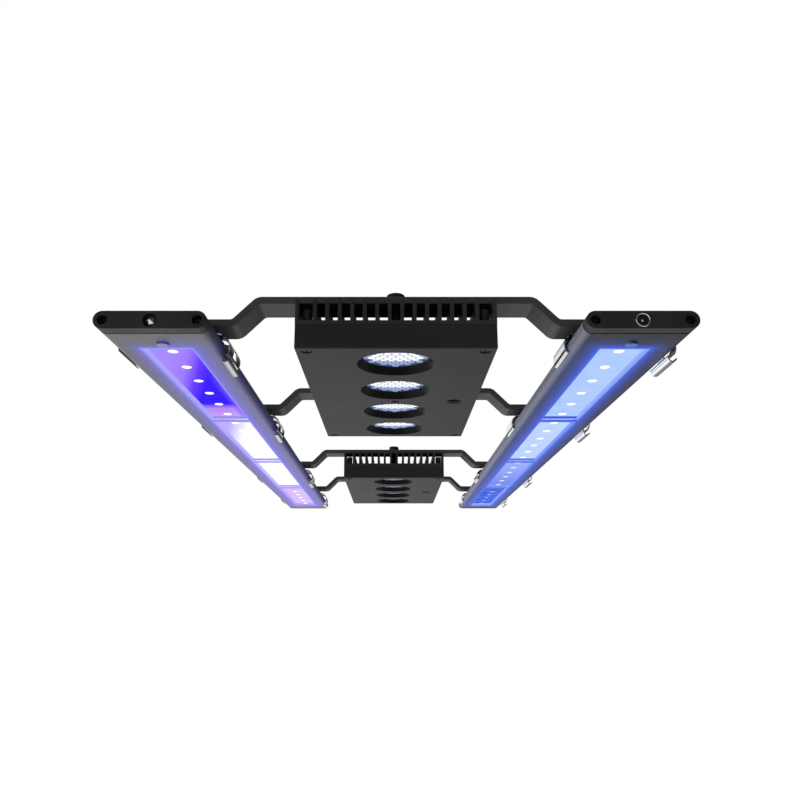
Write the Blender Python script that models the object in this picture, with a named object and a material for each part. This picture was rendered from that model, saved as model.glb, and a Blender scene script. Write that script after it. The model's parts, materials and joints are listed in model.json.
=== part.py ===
"""Aquarium light: two slim strip lights and two four-lens light heads on sprung crossbars.

Frame: X across the light, Y along its length, Z up.  The origin is centred in plan, level with
the lowest point of the light, which is the pull tab of the spring clips.  Units are metres.
"""
import math

import bmesh
import bpy
from mathutils import Matrix, Vector

MM = 0.001
GAP = 0.3 * MM                      # clearance between pieces that touch

MIDDLE_X = -0.87 * MM               # of the whole light; the clips' tabs all stand out to +X

# Strip lights
STRIP_LENGTH = 990 * MM
STRIP_WIDTH = 72.3 * MM
STRIP_THICKNESS = 12 * MM
STRIP_CENTRE = 156.8 * MM           # from the middle of the light
STRIP_UNDERSIDE = 5 * MM            # height above the clips' pull tabs
CAP_LENGTH = 9.3 * MM
POCKET_DEPTH = 8 * MM               # of the screw and connector pockets in the caps
GASKET_THICKNESS = 1.0 * MM
BOARDS_PER_STRIP = 4
BOARD_PITCH = 228.6 * MM
WINDOW_LENGTH = 223.5 * MM
WINDOW_WIDTH = 34.5 * MM
STRIP_WALL = 1.2 * MM               # floor of the strip, which the windows are cut through
COVER_WIDTH = 44 * MM
COVER_THICKNESS = 1.0 * MM
WELL_TOP = 6.4 * MM                 # of the well above each window, which holds an LED board
BOARD_FACE = 4.5 * MM               # depth of the LED board behind the underside
STUD_INSET = 27 * MM                # of the round stud under the strip, from the near end
STUD_SHIFT = 0.7 * MM               # of the same stud, to the right of the middle
STUD_RADIUS = 4.2 * MM
STUD_HEIGHT = 1.6 * MM
LEDS_PER_BOARD = 6
LED_PITCH = 38.1 * MM

# Light heads
HEAD_LENGTH = 301.2 * MM
HEAD_WIDTH = 142 * MM
HEAD_OFFSET = 294.6 * MM            # of each head's middle from the middle of the light
HEAD_UNDERSIDE = STRIP_UNDERSIDE + 3 * MM
HOUSING_HEIGHT = 17.35 * MM
HOUSING_WALL = 2.2 * MM
HOUSING_FLOOR = 5.5 * MM
SINK_FLOOR = 2.2 * MM
FIN_TOP = 36.85 * MM                # above the head's underside
FIN_PITCH = 8.81 * MM
FIN_THICKNESS = 2.65 * MM
LENSES_PER_HEAD = 4
LENS_PITCH = 74.7 * MM
LENS_MOUTH = 28.9 * MM              # radius of the rounded lens opening at the underside
LENS_THROAT = 24.2 * MM             # and at its inner end
BUTTON_X = 52 * MM
BUTTON_TRAVEL = 1.0 * MM
FAN_SIZE = 60 * MM
FAN_HEIGHT = 12 * MM

# Crossbars, thumb screws and spring clips
BAR_WIDTH = 29.5 * MM
BAR_THICKNESS = 5.6 * MM
BAR_INSET = 10.5 * MM               # from the end of the head to the edge of the bar
BAR_REACH = HEAD_LENGTH / 2 - BAR_INSET - BAR_WIDTH / 2
BAR_SHOULDER = 100.25 * MM          # where the top of the raised middle would meet the slope
BAR_DROP = 17.2 * MM                # from the raised middle to the ends, at 45 degrees
BAR_END = 177 * MM
BAR_RAISED_UNDERSIDE = HEAD_UNDERSIDE + FIN_TOP + GAP
KNOB_RADIUS = 6.8 * MM
KNOB_HEIGHT = 6.2 * MM
CLIP_LENGTH = 38 * MM
CLIP_SHEET = 0.9 * MM
CLIP_WINDOW = 12 * MM

SIDES = (("left", -1), ("right", 1))
HEADS = (("near", -1), ("far", 1))


# Scene, materials and small shape helpers ---------------------------------------------------

def clear_scene():
    for item in list(bpy.data.objects):
        bpy.data.objects.remove(item, do_unlink=True)


def make_material(name, colour, roughness, metallic=0.0, transmission=0.0, glow=0.0):
    material = bpy.data.materials.new(name)
    material.use_nodes = True
    shader = material.node_tree.nodes["Principled BSDF"]
    shader.inputs["Base Color"].default_value = (*colour, 1.0)
    shader.inputs["Roughness"].default_value = roughness
    shader.inputs["Metallic"].default_value = metallic
    shader.inputs["Transmission Weight"].default_value = transmission
    shader.inputs["Emission Color"].default_value = (*colour, 1.0)
    shader.inputs["Emission Strength"].default_value = glow
    material.diffuse_color = (*colour, 1.0)
    return material


def add_object(name, body, material, parent=None, location=(0, 0, 0)):
    """Put a bmesh in the scene as a named object with one material."""
    bmesh.ops.recalc_face_normals(body, faces=body.faces)
    mesh = bpy.data.meshes.new(name)
    body.to_mesh(mesh)
    body.free()
    mesh.shade_smooth()
    mesh.set_sharp_from_angle(angle=math.radians(30))
    mesh.materials.append(material)
    item = bpy.data.objects.new(name, mesh)
    bpy.context.scene.collection.objects.link(item)
    item.location = location
    item.parent = parent
    return item


def add_anchor(name, location):
    anchor = bpy.data.objects.new(name, None)
    anchor.location = location
    bpy.context.scene.collection.objects.link(anchor)
    return anchor


def loft(outlines):
    """Closed solid through equal-length rings of (x, y, z) points, capped at both ends."""
    body = bmesh.new()
    rings = [[body.verts.new(point) for point in outline] for outline in outlines]
    for ring, following in zip(rings, rings[1:]):
        for index in range(len(ring)):
            after = (index + 1) % len(ring)
            body.faces.new((ring[index], ring[after], following[after], following[index]))
    body.faces.new(rings[0])
    body.faces.new(rings[-1])
    return body


def prism(outline, start, end):
    """Solid with an (x, z) outline, running along Y from start to end."""
    return loft([[(x, y, z) for x, z in outline] for y in (start, end)])


def block(low, high, bevel=0.0):
    """Box between two corners, with rounded edges when a bevel is given."""
    body = bmesh.new()
    bmesh.ops.create_cube(body, size=1.0)
    low, high = Vector(low), Vector(high)
    bmesh.ops.scale(body, vec=high - low, verts=body.verts)
    bmesh.ops.translate(body, vec=(low + high) / 2, verts=body.verts)
    if bevel:
        bmesh.ops.bevel(body, geom=body.edges, offset=bevel, segments=1, affect="EDGES")
    return body


def turned(rings, centre=(0, 0), steps=32, axis="Z"):
    """Solid of revolution through (radius, height) rings, from one flat end to the other."""
    outlines = []
    for radius, height in rings:
        turn = [2 * math.pi * step / steps for step in range(steps)]
        ring = [(radius * math.cos(a), radius * math.sin(a), height) for a in turn]
        outlines.append(ring)
    body = loft(outlines)
    if axis == "Y":
        bmesh.ops.rotate(body, matrix=Matrix.Rotation(math.radians(-90), 3, "X"),
                         verts=body.verts)
        bmesh.ops.translate(body, vec=(centre[0], 0, centre[1]), verts=body.verts)
    else:
        bmesh.ops.translate(body, vec=(centre[0], centre[1], 0), verts=body.verts)
    return body


def combine(item, tools, operation):
    """Cut tools out of an object, or join them to it, one after another."""
    for body in tools:
        bmesh.ops.recalc_face_normals(body, faces=body.faces)
        mesh = bpy.data.meshes.new("tool")
        body.to_mesh(mesh)
        body.free()
        tool = bpy.data.objects.new("tool", mesh)
        bpy.context.scene.collection.objects.link(tool)
        tool.matrix_world = item.matrix_world
        tool.parent = item.parent
        tool.location = item.location
        modifier = item.modifiers.new("combine", "BOOLEAN")
        modifier.operation = operation
        modifier.solver = "EXACT"
        modifier.object = tool
        graph = bpy.context.evaluated_depsgraph_get()
        result = bpy.data.meshes.new_from_object(item.evaluated_get(graph))
        item.modifiers.clear()
        item.data = result
        item.data.name = item.name
        bpy.data.objects.remove(tool, do_unlink=True)
    item.data.shade_smooth()
    item.data.set_sharp_from_angle(angle=math.radians(30))
    return item


def cut(item, tools):
    return combine(item, tools, "DIFFERENCE")


def unite(item, tools):
    return combine(item, tools, "UNION")


def arc(centre, radius, start, end, steps):
    """Points on a circle in the XZ plane, angles in degrees."""
    points = []
    for step in range(steps + 1):
        angle = math.radians(start + (end - start) * step / steps)
        points.append((centre[0] + radius * math.cos(angle), centre[1] + radius * math.sin(angle)))
    return points


def thicken(path, thickness):
    """Outline of a bent sheet, from its middle line in the XZ plane."""
    upper, lower = [], []
    for index, point in enumerate(path):
        before = Vector(path[max(index - 1, 0)])
        after = Vector(path[min(index + 1, len(path) - 1)])
        here = Vector(point)
        first, second = (here - before), (after - here)
        first = first.normalized() if first.length else second.normalized()
        second = second.normalized() if second.length else first
        along = (first + second).normalized()
        side = Vector((-along.y, along.x))
        reach = thickness / 2 / max(along.dot(first), 0.5)
        upper.append(tuple(here + side * reach))
        lower.append(tuple(here - side * reach))
    return upper + lower[::-1]


# Strip lights -------------------------------------------------------------------------------

def strip_outline(inset=0.0):
    radius = STRIP_THICKNESS / 2
    reach = STRIP_WIDTH / 2 - radius
    middle = STRIP_THICKNESS / 2
    right = arc((reach, middle), radius - inset, -90, 90, 8)
    left = arc((-reach, middle), radius - inset, 90, 270, 8)
    return right + left


def strip_ring(y, inset=0.0):
    return [(x, y, z) for x, z in strip_outline(inset)]


def window_middle(index):
    return (index - (BOARDS_PER_STRIP - 1) / 2) * BOARD_PITCH


def make_channel(side, parent, materials):
    end = STRIP_LENGTH / 2 - CAP_LENGTH - GASKET_THICKNESS - 2 * GAP
    channel = add_object(f"{side}_strip_channel", prism(strip_outline(), -end, end),
                         materials["strip_metal"], parent)
    slot_half = COVER_WIDTH / 2 + GAP
    slot_top = STRIP_WALL + COVER_THICKNESS + 2 * GAP
    tools = [block((-slot_half, -end - MM, STRIP_WALL), (slot_half, end + MM, slot_top))]
    for index in range(BOARDS_PER_STRIP):
        y = window_middle(index)
        tools.append(block((-WINDOW_WIDTH / 2, y - WINDOW_LENGTH / 2, -MM),
                           (WINDOW_WIDTH / 2, y + WINDOW_LENGTH / 2, WELL_TOP)))
    stud = turned([(STUD_RADIUS, -STUD_HEIGHT), (STUD_RADIUS, STRIP_WALL / 2)],
                  (STUD_SHIFT, STUD_INSET - STRIP_LENGTH / 2), 24)
    unite(channel, [stud])
    cut(channel, tools)


def make_cap(side, end_name, direction, parent, materials):
    """End cap with two screw pockets in its face; the near cap also has a connector pocket."""
    face = direction * STRIP_LENGTH / 2
    back = face - direction * CAP_LENGTH
    edge = 0.5 * MM
    body = loft([strip_ring(back), strip_ring(face - direction * edge), strip_ring(face, edge)])
    cap = add_object(f"{side}_{end_name}_end_cap", body, materials["cap_plastic"], parent)
    pocket_x = STRIP_WIDTH / 2 - STRIP_THICKNESS / 2
    depth = POCKET_DEPTH
    pockets = [(pocket_x, 3.3 * MM), (-pocket_x, 3.3 * MM)]
    if end_name == "near":
        pockets.append((0, 5.3 * MM if side == "right" else 4.6 * MM))
    tools = []
    for x, radius in pockets:
        rings = [(radius, face - direction * depth), (radius, face + direction * MM)]
        tools.append(turned(rings, (x, STRIP_THICKNESS / 2), 20, "Y"))
    cut(cap, tools)
    start = back - direction * GAP
    rings = [strip_ring(start, 0.4 * MM), strip_ring(start - direction * GASKET_THICKNESS, 0.4 * MM)]
    add_object(f"{side}_{end_name}_cap_gasket", loft(rings), materials["gasket_rubber"], parent)


def make_connector(side, parent, materials):
    """Low-voltage connector in the near cap: a pointed plug on the left, a socket on the right."""
    face = -STRIP_LENGTH / 2
    floor = face + POCKET_DEPTH - GAP
    centre = (0, STRIP_THICKNESS / 2)
    if side == "left":
        rings = [(4.0 * MM, floor), (4.0 * MM, face + 2.5 * MM), (1.2 * MM, face + 0.2 * MM)]
        body = turned(rings, centre, 8, "Y")
        add_object("left_strip_connector", body, materials["chrome"], parent)
        return
    body = turned([(4.9 * MM, floor), (4.9 * MM, face)], centre, 24, "Y")
    socket = add_object("right_strip_connector", body, materials["chrome"], parent)
    cut(socket, [turned([(3.8 * MM, floor - 1.5 * MM), (3.8 * MM, face - 2 * MM)], centre, 24, "Y")])


def make_boards(side, parent, materials):
    """LED boards, each with its row of domed LEDs facing down."""
    thickness = 1.6 * MM
    margin = 0.8 * MM
    dome = [(2.9 * MM, 0.2 * MM), (2.0 * MM, -1.2 * MM)]
    for index in range(BOARDS_PER_STRIP):
        y = window_middle(index)
        half = WINDOW_LENGTH / 2 - margin
        low = (-WINDOW_WIDTH / 2 + GAP, y - half, BOARD_FACE)
        high = (WINDOW_WIDTH / 2 - GAP, y + half, BOARD_FACE + thickness)
        board = add_object(f"{side}_led_board_{index + 1}", block(low, high),
                           materials["board"], parent)
        domes = []
        for led in range(LEDS_PER_BOARD):
            led_y = y + (led - (LEDS_PER_BOARD - 1) / 2) * LED_PITCH
            rings = [(radius, BOARD_FACE + height) for radius, height in dome]
            domes.append(turned(rings, (0, led_y), 8))
        unite(board, domes)


def make_cover(side, parent, materials):
    end = STRIP_LENGTH / 2 - CAP_LENGTH - GASKET_THICKNESS - 2 * MM
    low = (-COVER_WIDTH / 2, -end, STRIP_WALL + GAP)
    high = (COVER_WIDTH / 2, end, STRIP_WALL + GAP + COVER_THICKNESS)
    add_object(f"{side}_window_cover", block(low, high), materials["clear_cover"], parent)


def make_strip(side, sign, materials):
    place = (MIDDLE_X + sign * STRIP_CENTRE, 0, STRIP_UNDERSIDE)
    parent = add_anchor(f"{side}_strip_slide", place)
    make_channel(side, parent, materials)
    make_cap(side, "near", -1, parent, materials)
    make_cap(side, "far", 1, parent, materials)
    make_connector(side, parent, materials)
    make_boards(side, parent, materials)
    make_cover(side, parent, materials)


# Light heads --------------------------------------------------------------------------------

def lens_middle(index):
    return (index - (LENSES_PER_HEAD - 1) / 2) * LENS_PITCH


def make_housing(head, parent, materials):
    """Tray with a thick floor, four rounded lens openings, a button hole and screw pockets."""
    x, y = HEAD_WIDTH / 2, HEAD_LENGTH / 2
    body = block((-x, -y, 0), (x, y, HOUSING_HEIGHT + 2 * MM), bevel=0.7 * MM)
    housing = add_object(f"{head}_housing", body, materials["head_metal"], parent)
    inner_x, inner_y = x - HOUSING_WALL, y - HOUSING_WALL
    tools = [block((-x - MM, -y - MM, HOUSING_HEIGHT), (x + MM, y + MM, HOUSING_HEIGHT + 5 * MM)),
             block((-inner_x, -inner_y, HOUSING_FLOOR), (inner_x, inner_y, HOUSING_HEIGHT + MM))]
    mouth = [(LENS_MOUTH, -MM)]
    for angle in (0, 30, 60, 90):
        lean = math.radians(angle)
        radius = LENS_MOUTH - (LENS_MOUTH - LENS_THROAT) * math.sin(lean)
        mouth.append((radius, HOUSING_FLOOR * (1 - math.cos(lean)) * 0.95))
    mouth.append((LENS_THROAT, HOUSING_FLOOR + MM))
    for index in range(LENSES_PER_HEAD):
        tools.append(turned(mouth, (0, lens_middle(index)), 24))
    tools.append(turned([(6.0 * MM, -MM), (6.0 * MM, HOUSING_FLOOR + MM)], (BUTTON_X, 0), 24))
    tools.append(turned([(3.2 * MM, -MM), (3.2 * MM, 2.5 * MM)], (0, 0), 16))
    for corner_x in (-63 * MM, 63 * MM):
        for corner_y in (-y + 8 * MM, y - 8 * MM):
            tools.append(turned([(4.0 * MM, -MM), (4.0 * MM, 3 * MM)], (corner_x, corner_y), 16))
    cut(housing, tools)


def make_heat_sink(head, parent, materials):
    """Extruded heat sink: fins along Y, a fan pocket, corner posts and two thumb-screw bosses."""
    half = HEAD_WIDTH / 2
    low = HOUSING_HEIGHT + GAP
    floor = low + SINK_FLOOR
    wall = 2.3 * MM
    middles = [(step + 0.5) * FIN_PITCH for step in range(-7, 7)]
    fins = [(middle - FIN_THICKNESS / 2, middle + FIN_THICKNESS / 2) for middle in middles]
    fins = [(-half, -half + wall)] + fins + [(half - wall, half)]
    outline = []
    for start, end in reversed(fins):
        outline += [(end, floor), (end, FIN_TOP), (start, FIN_TOP), (start, floor)]
    outline[0], outline[-1] = (half, low), (-half, low)
    y = HEAD_LENGTH / 2
    sink = add_object(f"{head}_heat_sink", prism(outline, -y, y), materials["sink_metal"], parent)
    pocket = FAN_SIZE / 2 + 1.5 * MM
    cut(sink, [block((-pocket, -pocket, floor + 0.1 * MM), (pocket, pocket, FIN_TOP + MM))])
    posts = []
    for x in (-63.1 * MM, 63.1 * MM):
        for post_y in (-y + 9 * MM, y - 9 * MM):
            rings = [(3.5 * MM, floor - MM), (3.5 * MM, floor + 10 * MM)]
            posts.append(turned(rings, (x, post_y), 16))
    bores = []
    for post_y in (-BAR_REACH, BAR_REACH):
        posts.append(turned([(4.2 * MM, floor - MM), (4.2 * MM, FIN_TOP - MM)], (0, post_y), 24))
        bores.append(turned([(2.9 * MM, floor + 0.5 * MM), (2.9 * MM, FIN_TOP + MM)], (0, post_y), 24))
    unite(sink, posts)
    cut(sink, bores)


def make_lenses(head, parent, materials):
    """Lens discs, each with a shallow dome towards the water, behind the rounded openings."""
    seat = HOUSING_FLOOR + GAP
    rings = [(25.5 * MM, seat + 2.5 * MM), (25.5 * MM, seat)]
    rings += [(23.2 * MM, seat), (13.0 * MM, seat - 1.6 * MM)]
    for index in range(LENSES_PER_HEAD):
        body = turned(rings, (0, lens_middle(index)), 20)
        add_object(f"{head}_lens_{index + 1}", body, materials["lens"], parent)


def make_head_boards(head, parent, materials):
    """LED board above the lenses, and the driver board beside it."""
    low, thickness = 10.0 * MM, 1.6 * MM
    x, y = 31 * MM, HEAD_LENGTH / 2 - 8 * MM
    board = add_object(f"{head}_led_board", block((-x, -y, low), (x, y, low + thickness)),
                       materials["board"], parent)
    clusters = []
    for index in range(LENSES_PER_HEAD):
        middle = lens_middle(index)
        size = 11 * MM
        clusters.append(block((-size, middle - size, low - MM), (size, middle + size, low + MM)))
    unite(board, clusters)
    left, right, y = -66 * MM, -36 * MM, 110 * MM
    driver = add_object(f"{head}_driver_board", block((left, -y, low), (right, y, low + thickness)),
                        materials["driver_board"], parent)
    top = low + thickness
    tools = [block((left + 5 * MM, -70 * MM, top - MM), (left + 22 * MM, -48 * MM, top + 4.5 * MM)),
             block((left + 7 * MM, 20 * MM, top - MM), (left + 25 * MM, 38 * MM, top + 4 * MM)),
             turned([(5 * MM, top - MM), (5 * MM, top + 4.5 * MM)], (left + 14 * MM, 70 * MM), 16)]
    unite(driver, tools)


def make_button(head, parent, materials):
    """Control button: a cap in the round hole, with a flange that stops it falling out."""
    flange = HOUSING_FLOOR + GAP
    rings = [(5.4 * MM, 2.2 * MM), (5.4 * MM, flange), (7.2 * MM, flange), (7.2 * MM, flange + MM)]
    add_object(f"{head}_button", turned(rings, steps=24), materials["button_plastic"], parent,
               (BUTTON_X, 0, 0))


def make_fan(head, parent, materials):
    """Cooling fan in the middle of the heat sink: a square frame and a bladed rotor."""
    low = HOUSING_HEIGHT + GAP + SINK_FLOOR + 0.5 * MM
    half = FAN_SIZE / 2
    frame = add_object(f"{head}_fan_frame", block((-half, -half, low), (half, half, low + FAN_HEIGHT)),
                       materials["fan_plastic"], parent)
    bore = half - 1.5 * MM
    cut(frame, [turned([(bore, low - MM), (bore, low + FAN_HEIGHT + MM)], steps=40)])
    struts = [turned([(12 * MM, low), (12 * MM, low + 1.5 * MM)], steps=24)]
    for turn in range(3):
        arm = block((0, -1.5 * MM, low), (half - MM, 1.5 * MM, low + 1.5 * MM))
        bmesh.ops.rotate(arm, matrix=Matrix.Rotation(math.radians(120 * turn + 30), 3, "Z"),
                         verts=arm.verts)
        struts.append(arm)
    unite(frame, struts)

    floor = low + 2.3 * MM
    top = low + FAN_HEIGHT - 0.5 * MM
    hub = turned([(12 * MM, floor), (12 * MM, top - MM), (11 * MM, top)], steps=24)
    rotor = add_object(f"{head}_fan_rotor", hub, materials["rotor_plastic"], parent)
    blades = []
    for turn in range(7):
        blade = block((10 * MM, -5.5 * MM, -0.6 * MM), (bore - 1.2 * MM, 5.5 * MM, 0.6 * MM))
        heading = Matrix.Rotation(math.radians(360 / 7 * turn), 3, "Z")
        pitch = Matrix.Rotation(math.radians(35), 3, "X")
        bmesh.ops.rotate(blade, matrix=heading @ pitch, verts=blade.verts)
        bmesh.ops.translate(blade, vec=(0, 0, (floor + top) / 2), verts=blade.verts)
        blades.append(blade)
    unite(rotor, blades)


def make_head(head, sign, materials):
    parent = add_anchor(f"{head}_head", (MIDDLE_X, sign * HEAD_OFFSET, HEAD_UNDERSIDE))
    make_housing(head, parent, materials)
    make_heat_sink(head, parent, materials)
    make_lenses(head, parent, materials)
    make_head_boards(head, parent, materials)
    make_button(head, parent, materials)
    make_fan(head, parent, materials)


# Crossbars, thumb screws and clips ----------------------------------------------------------

def bar_path():
    """Middle line of the crossbar: raised over the head, dropping at 45 degrees to each end."""
    radius = 4 * MM + BAR_THICKNESS / 2
    high = BAR_RAISED_UNDERSIDE + BAR_THICKNESS / 2
    low = high - BAR_DROP
    tangent = radius * math.tan(math.radians(22.5))
    shoulder = BAR_SHOULDER - BAR_THICKNESS / 2 * math.tan(math.radians(22.5))
    foot = shoulder + BAR_DROP
    left = [(-BAR_END, low)]
    left += arc((-foot - tangent, low + radius), radius, 270, 315, 3)
    left += arc((-shoulder + tangent, high - radius), radius, 135, 90, 3)
    return left + [(-x, z) for x, z in reversed(left)]


def make_bar(number, y, materials):
    outline = thicken(bar_path(), BAR_THICKNESS)
    body = prism(outline, -BAR_WIDTH / 2, BAR_WIDTH / 2)
    ends = [edge for edge in body.edges if abs(edge.verts[0].co.y - edge.verts[1].co.y) < 1e-6]
    bmesh.ops.bevel(body, geom=ends, offset=0.5 * MM, segments=1, affect="EDGES")
    bar = add_object(f"crossbar_{number}", body, materials["bar_metal"],
                     location=(MIDDLE_X, y, 0))
    low = BAR_RAISED_UNDERSIDE - BAR_DROP
    pads = []
    for sign in (-1, 1):
        x = sorted((sign * (STRIP_CENTRE - 17 * MM), sign * (STRIP_CENTRE + 17 * MM)))
        foot = STRIP_UNDERSIDE + 13.6 * MM
        pads.append(block((x[0], -10 * MM, foot), (x[1], 10 * MM, low + MM)))
    unite(bar, pads)
    cut(bar, [turned([(2.9 * MM, low), (2.9 * MM, low + 40 * MM)], steps=16)])


def make_knob(number, y, materials):
    """Thumb screw with a ribbed head; its shank reaches down into a boss of the heat sink."""
    head_low = BAR_RAISED_UNDERSIDE + BAR_THICKNESS + GAP
    head_high = head_low + KNOB_HEIGHT
    shank_end = HEAD_UNDERSIDE + HOUSING_HEIGHT + SINK_FLOOR + 1.3 * MM
    ribs = 20
    outlines = []
    levels = [(2.5 * MM, shank_end, False), (2.5 * MM, head_low, False), (KNOB_RADIUS, head_low, True),
              (KNOB_RADIUS, head_high - 1.4 * MM, True), (KNOB_RADIUS - 2.2 * MM, head_high, False)]
    for radius, z, ribbed in levels:
        ring = []
        for step in range(ribs):
            angle = 2 * math.pi * step / ribs
            reach = radius - (0.6 * MM if ribbed and step % 2 else 0)
            ring.append((reach * math.cos(angle), reach * math.sin(angle), z))
        outlines.append(ring)
    add_object(f"thumb_screw_{number}", loft(outlines), materials["knob_metal"],
               location=(MIDDLE_X, y, 0))


def clip_path():
    """Middle line of a clip: a hook on the left, a saddle over the strip, a pull tab on the right."""
    edge = STRIP_WIDTH / 2 - STRIP_THICKNESS / 2
    middle = STRIP_THICKNESS / 2
    shoulder = 15.8 * MM
    saddle = [(20 * MM, STRIP_THICKNESS + 0.85 * MM), (23.5 * MM, shoulder)]
    hook = saddle + arc((edge, shoulder - 7.9 * MM), 7.9 * MM, 90, 0, 5)
    hook += arc((edge, middle), 7.85 * MM, -6, -22, 2) + arc((edge, middle), 7.1 * MM, -32, -38, 1)
    tab = saddle + arc((edge, middle), shoulder - middle, 90, -30, 6)
    tab += [(35.6 * MM, 0.1 * MM), (33.7 * MM, -0.6 * MM), (33.9 * MM, -1.9 * MM)]
    tab += arc((37.0 * MM, -1.72 * MM), 2.8 * MM, 190, 350, 4)
    return [(-x, z) for x, z in reversed(hook)] + tab


def make_clip(bar_number, side, sign, y, materials):
    """Spring clip: one bent sheet that snaps over both rounded edges of a strip."""
    body = prism(thicken(clip_path(), CLIP_SHEET), -CLIP_LENGTH / 2, CLIP_LENGTH / 2)
    clip = add_object(f"{side}_clip_{bar_number}", body, materials["chrome"],
                      location=(MIDDLE_X + sign * STRIP_CENTRE, y, STRIP_UNDERSIDE))
    cut(clip, [block((31 * MM, -CLIP_WINDOW / 2, 2.2 * MM), (45 * MM, CLIP_WINDOW / 2, 20 * MM))])


def bar_places():
    """Y of the four crossbars, near to far: two over each head."""
    return [middle + step for middle in (-HEAD_OFFSET, HEAD_OFFSET) for step in (-BAR_REACH, BAR_REACH)]


def main():
    clear_scene()
    materials = {
        "strip_metal": make_material("strip_metal", (0.11, 0.11, 0.115), 0.45, 0.6),
        "cap_plastic": make_material("cap_plastic", (0.014, 0.014, 0.015), 0.5),
        "gasket_rubber": make_material("gasket_rubber", (0.01, 0.01, 0.01), 0.8),
        "clear_cover": make_material("clear_cover", (0.9, 0.93, 1.0), 0.12, transmission=0.9),
        "board": make_material("board", (0.8, 0.8, 0.82), 0.4),
        "driver_board": make_material("driver_board", (0.02, 0.12, 0.05), 0.5),
        "head_metal": make_material("head_metal", (0.03, 0.03, 0.031), 0.5, 0.3),
        "sink_metal": make_material("sink_metal", (0.02, 0.02, 0.021), 0.5, 0.3),
        "lens": make_material("lens", (0.85, 0.9, 1.0), 0.2, transmission=0.5, glow=1.0),
        "button_plastic": make_material("button_plastic", (0.012, 0.012, 0.013), 0.4),
        "fan_plastic": make_material("fan_plastic", (0.016, 0.016, 0.017), 0.5),
        "rotor_plastic": make_material("rotor_plastic", (0.022, 0.022, 0.023), 0.45),
        "bar_metal": make_material("bar_metal", (0.025, 0.025, 0.026), 0.5, 0.3),
        "knob_metal": make_material("knob_metal", (0.02, 0.02, 0.021), 0.4, 0.4),
        "chrome": make_material("chrome", (0.8, 0.8, 0.82), 0.12, 1.0),
    }
    for side, sign in SIDES:
        make_strip(side, sign, materials)
    for head, sign in HEADS:
        make_head(head, sign, materials)
    for number, y in enumerate(bar_places(), start=1):
        make_bar(number, y, materials)
        make_knob(number, y, materials)
        for side, sign in SIDES:
            make_clip(number, side, sign, y, materials)


main()
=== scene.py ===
import json
import math

import bmesh
import bpy
from mathutils import Matrix, Vector


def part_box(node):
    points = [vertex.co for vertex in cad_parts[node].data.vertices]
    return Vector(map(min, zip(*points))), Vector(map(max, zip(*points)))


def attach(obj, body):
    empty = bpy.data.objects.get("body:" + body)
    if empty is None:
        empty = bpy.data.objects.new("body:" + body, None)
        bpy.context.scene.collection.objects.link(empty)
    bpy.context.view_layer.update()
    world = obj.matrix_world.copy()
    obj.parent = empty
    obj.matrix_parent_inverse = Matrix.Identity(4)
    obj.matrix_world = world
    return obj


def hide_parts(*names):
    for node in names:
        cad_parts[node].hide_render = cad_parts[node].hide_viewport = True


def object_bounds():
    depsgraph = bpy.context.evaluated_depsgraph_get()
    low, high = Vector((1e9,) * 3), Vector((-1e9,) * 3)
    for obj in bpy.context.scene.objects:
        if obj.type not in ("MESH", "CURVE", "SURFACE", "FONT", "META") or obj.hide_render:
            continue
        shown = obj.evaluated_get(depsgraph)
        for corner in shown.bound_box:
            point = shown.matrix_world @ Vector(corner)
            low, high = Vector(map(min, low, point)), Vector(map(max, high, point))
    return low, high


# The looks of an aquarium light: slim strip lights and box heads, seen from below and in front.
# Every piece takes its place and main size from the CAD model's boxes.  Units are metres.

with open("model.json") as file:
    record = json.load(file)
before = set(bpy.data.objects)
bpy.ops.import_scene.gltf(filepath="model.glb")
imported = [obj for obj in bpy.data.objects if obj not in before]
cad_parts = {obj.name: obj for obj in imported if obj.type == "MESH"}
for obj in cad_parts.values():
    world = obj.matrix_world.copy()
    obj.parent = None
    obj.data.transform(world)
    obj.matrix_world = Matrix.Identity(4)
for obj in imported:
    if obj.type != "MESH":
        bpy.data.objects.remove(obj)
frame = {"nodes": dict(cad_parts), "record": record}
cad_low, cad_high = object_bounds()

MM = 0.001
SIDES = (("left", -1), ("right", 1))
HEADS = ("near", "far")
BAR_NUMBERS = (1, 2, 3, 4)

# Details that are finer than the CAD model
EDGE_SOFTNESS = 0.35 * MM           # rounding of machined and moulded edges
SHARP_ANGLE = math.radians(32)
LEDS_PER_BOARD = 6
LED_PITCH = 38.1 * MM
LED_RADIUS = 3.7 * MM
LED_SEAT = 1.5 * MM                 # how far an LED's dome stands off its board
LED_RISE = 0.4 * MM
BOARD_SIDE_GAP = 0.3 * MM           # between an LED board and the edges of its window
BOARD_END_GAP = 0.8 * MM
STRIP_WALL = 1.2 * MM
LENS_MOUTH = 28.9 * MM
LENS_THROAT = 24.2 * MM
HOUSING_FLOOR = 5.5 * MM
PEBBLE_PITCH = 6.0 * MM             # of the small lenses on each light head's optics
BAR_THICKNESS = 5.6 * MM
BAR_DROP = 17.2 * MM
CLIP_SHEET = 0.9 * MM
BAR_SHOULDER = 100.25 * MM          # where a bar starts to drop, from the middle
BAR_BEND = 4 * MM                   # inner radius of its bends
CLIP_WINDOW = 12 * MM
FAN_HUB = 12 * MM
FAN_BLADES = 7
FAN_SCREW = 25 * MM                 # from the fan's middle, both ways
THREAD_PITCH = 0.8 * MM
KNOB_FLUTES = 24
FRONT_MARGIN = 2 * MM               # more metal before the first window than the CAD model has
STUD_INSET = 30 * MM                # of the round stud under each strip, from the near end
STUD_SHIFT = 0.7 * MM               # of the same stud, to the right of the strip's middle

NODE_BODY = {}
for body_name, members in frame["record"]["behaviour"]["bodies"].items():
    for member in members:
        NODE_BODY[member] = body_name


def extent(node):
    """Middle and half size of a CAD node's box."""
    low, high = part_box(node)
    return (low + high) / 2, (high - low) / 2


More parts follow.
